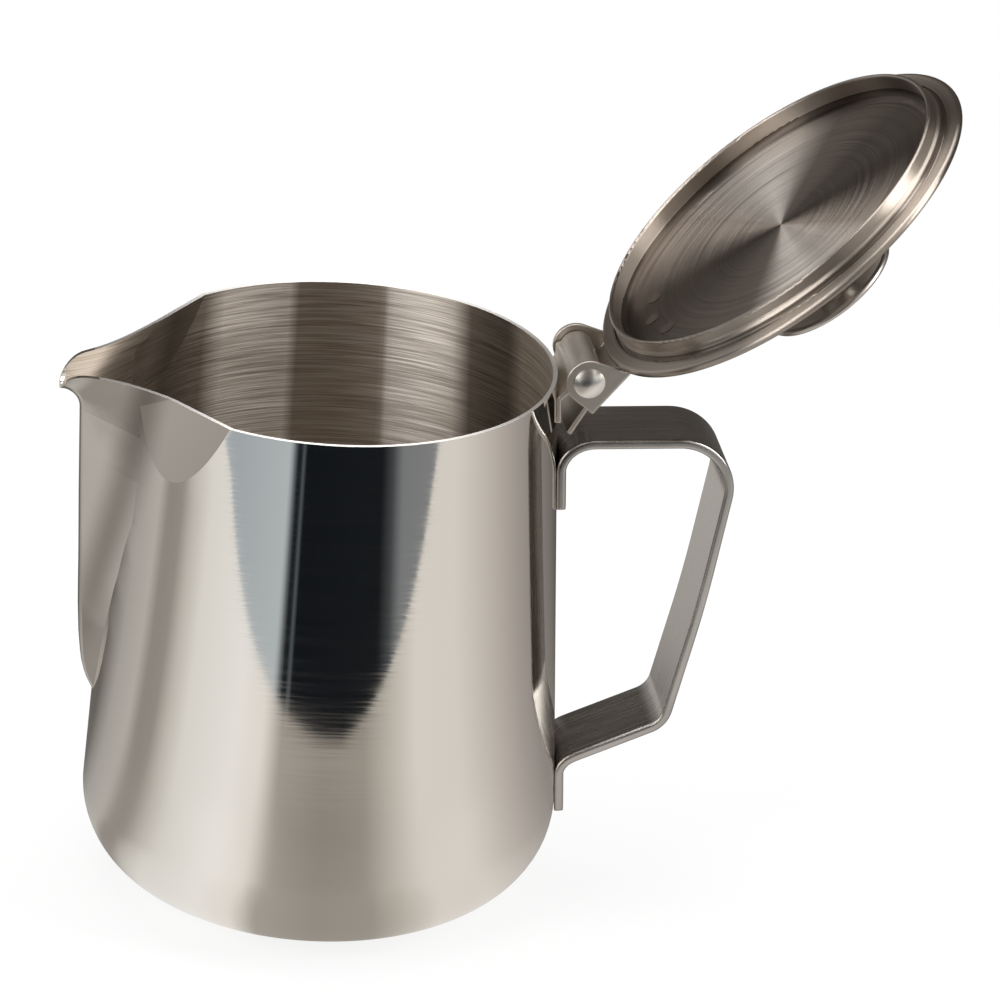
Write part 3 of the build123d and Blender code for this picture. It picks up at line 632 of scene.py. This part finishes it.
def studio_world():
    """White to the camera. In the steel, the room at the horizon and a soft light overhead."""
    world = bpy.data.worlds.new("studio")
    bpy.context.scene.world = world
    world.use_nodes = True
    tree = world.node_tree
    tree.nodes.clear()
    direction = add(tree, "ShaderNodeTexCoord").outputs["Generated"]
    height = add(tree, "ShaderNodeSeparateXYZ", {0: direction}).outputs["Z"]
    overhead = add(tree, "ShaderNodeMapRange", {"Value": height, "From Min": overhead_from,
                                                "From Max": overhead_full})
    mirrored = add(tree, "ShaderNodeMix", {"Factor": overhead.outputs[0],
                                           colour_a: colour_round(tree, direction, upper_light),
                                           colour_b: colour(overhead_tint)}, data_type="RGBA")
    path = add(tree, "ShaderNodeLightPath")
    seen = add(tree, "ShaderNodeMix", {"Factor": path.outputs["Is Glossy Ray"], colour_a: colour(even_grey),
                                       colour_b: mirrored.outputs[mixed_colour]}, data_type="RGBA")
    shown = add(tree, "ShaderNodeMix", {"Factor": path.outputs["Is Camera Ray"],
                                        colour_a: seen.outputs[mixed_colour],
                                        colour_b: colour(plain_white)}, data_type="RGBA")
    sky = add(tree, "ShaderNodeBackground", {"Color": shown.outputs[mixed_colour], "Strength": 1.0})
    add(tree, "ShaderNodeOutputWorld", {"Surface": sky.outputs[0]})
    print(world.name, "has", len(tree.nodes), "nodes")

studio_world()

# %% [markdown]
# Three soft lamps give the highlights and the shadow: one on each side and a wide one above.
# A photographer would use softboxes, which are bright rectangles of cloth, so area lamps fit.
# Sizes and places are in metres, the powers in watts.

# %% Lamps
aim_height = 0.06
side_size = (0.5, 1.0)
top_size = (1.0, 1.0)
side_power = 9
top_power = 10

def softbox(name, place, size, power):
    """A rectangular lamp that faces the jug."""
    lamp = bpy.data.lights.new(name, "AREA")
    lamp.shape = "RECTANGLE"
    lamp.size, lamp.size_y = size
    lamp.energy = power
    holder = bpy.data.objects.new(name, lamp)
    bpy.context.scene.collection.objects.link(holder)
    holder.location = place
    holder.rotation_mode = "QUATERNION"
    aim = Vector((0, 0, aim_height)) - Vector(place)
    holder.rotation_quaternion = aim.to_track_quat("-Z", "Y")
    print(name, "is", round(aim.length, 2), "m away")

softbox("left_softbox", (-0.9, -0.6, 0.7), side_size, side_power)
softbox("right_softbox", (1.0, -0.35, 0.7), side_size, side_power)
softbox("top_softbox", (0.0, 0.3, 1.2), top_size, top_power)

# %% [markdown]
# The camera stands where the photograph was taken from, about a metre away and a little above.
# Its place, its turn and its lens were worked out from the outlines of the body, the rim and the lid.
# The turn is given by two directions, what is right and what is up in the picture.

# %% The camera
camera_place = Vector((-110.66, -901.23, 478.22)) * mm
camera_right = Vector((0.98981, -0.1287, 0.06097))
camera_up = Vector((-0.00319, 0.40802, 0.91297))
focal_share = 5.31795       # focal length over the sensor's width
sensor_width = 36.0
nearest_seen = 0.01
furthest_seen = 20.0

def photo_camera():
    """The camera where the photograph was taken from."""
    data = bpy.data.cameras.new("camera")
    data.sensor_width = sensor_width
    data.lens = sensor_width * focal_share
    data.clip_start = nearest_seen
    data.clip_end = furthest_seen
    camera = bpy.data.objects.new("camera", data)
    bpy.context.scene.collection.objects.link(camera)
    away = camera_right.cross(camera_up)
    turn = Matrix((camera_right, camera_up, away)).transposed()
    camera.matrix_world = Matrix.Translation(camera_place) @ turn.to_4x4()
    bpy.context.scene.camera = camera
    print("camera with a", round(data.lens), "mm lens")

photo_camera()
bpy.context.scene.view_settings.view_transform = "Standard"
